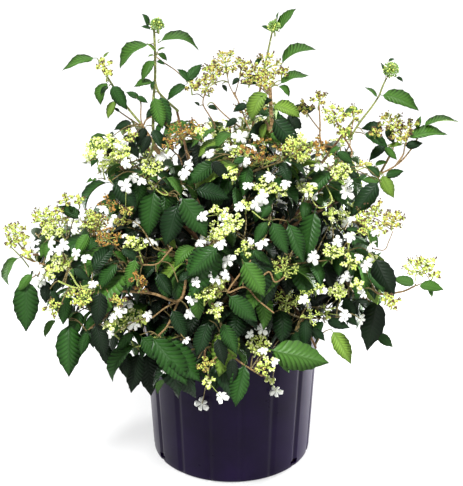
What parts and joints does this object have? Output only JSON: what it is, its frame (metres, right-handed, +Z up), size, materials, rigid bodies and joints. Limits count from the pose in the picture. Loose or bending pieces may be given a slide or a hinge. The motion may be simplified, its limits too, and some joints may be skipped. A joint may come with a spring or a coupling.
{
  "type": "potted doublefile viburnum",
  "caption": "Wide, tiered flowering shrub with drooping pleated leaves, flat lacecap flower heads and tall upright shoots, growing in a round black ribbed nursery pot.",
  "frame": {"origin": "centre of the pot's flat underside", "axes": "+Z up along the pot's axis, -Y towards the front as seen in the picture, +X to the right"},
  "size_m": [0.6658, 0.5787, 0.6948],
  "materials": {
    "pot": "semi-gloss black moulded plastic",
    "potting_mix": "moist bark and peat crumb",
    "bark": "smooth tan bark with pores",
    "petals": "matt white sterile florets",
    "flower_heads": "yellow-green to golden fertile flowers on thin rays",
    "foliage": "satin leaves with matt white and yellow-green flower heads"
  },
  "bodies": {
    "root": {"pot": "pot", "potting_mix": "potting_mix", "trunk": "bark", "bough_wing_left": "bark", "mass_wing_left": "foliage", "bough_wing_front_left": "bark", "mass_wing_front_left": "foliage", "bough_front_left": "bark", "mass_front_left": "foliage", "bough_front_right": "bark", "mass_front_right": "foliage", "bough_front_low": "bark", "mass_front_low": "foliage", "bough_wing_front_right": "bark", "mass_wing_front_right": "foliage", "bough_wing_right": "bark", "mass_wing_right": "foliage", "bough_wing_back_right": "bark", "mass_wing_back_right": "foliage", "bough_wing_back": "bark", "mass_wing_back": "foliage", "bough_wing_back_left": "bark", "mass_wing_back_left": "foliage", "bough_crest_left": "bark", "mass_crest_left": "foliage", "bough_crest_front": "bark", "mass_crest_front": "foliage", "bough_crest_right": "bark", "mass_crest_right": "foliage", "bough_crest_back": "bark", "mass_crest_back": "foliage", "bough_leader_left_outer": "bark", "mass_leader_left_outer": "foliage", "bough_leader_left": "bark", "mass_leader_left": "foliage", "bough_leader_middle": "bark", "mass_leader_middle": "foliage", "bough_leader_right": "bark", "mass_leader_right": "foliage", "bough_leader_right_outer": "bark", "mass_leader_right_outer": "foliage", "bough_leader_far_right": "bark", "mass_leader_far_right": "foliage", "bough_skirt_front": "bark", "mass_skirt_front": "foliage", "bough_skirt_front_right": "bark", "mass_skirt_front_right": "foliage", "bough_skirt_right": "bark", "mass_skirt_right": "foliage", "bough_skirt_back_right": "bark", "mass_skirt_back_right": "foliage", "bough_skirt_back": "bark", "mass_skirt_back": "foliage", "bough_skirt_back_left": "bark", "mass_skirt_back_left": "foliage", "bough_skirt_left_back": "bark", "mass_skirt_left_back": "foliage", "bough_skirt_front_left": "bark", "mass_skirt_front_left": "foliage"}
  },
  "joints": []
}
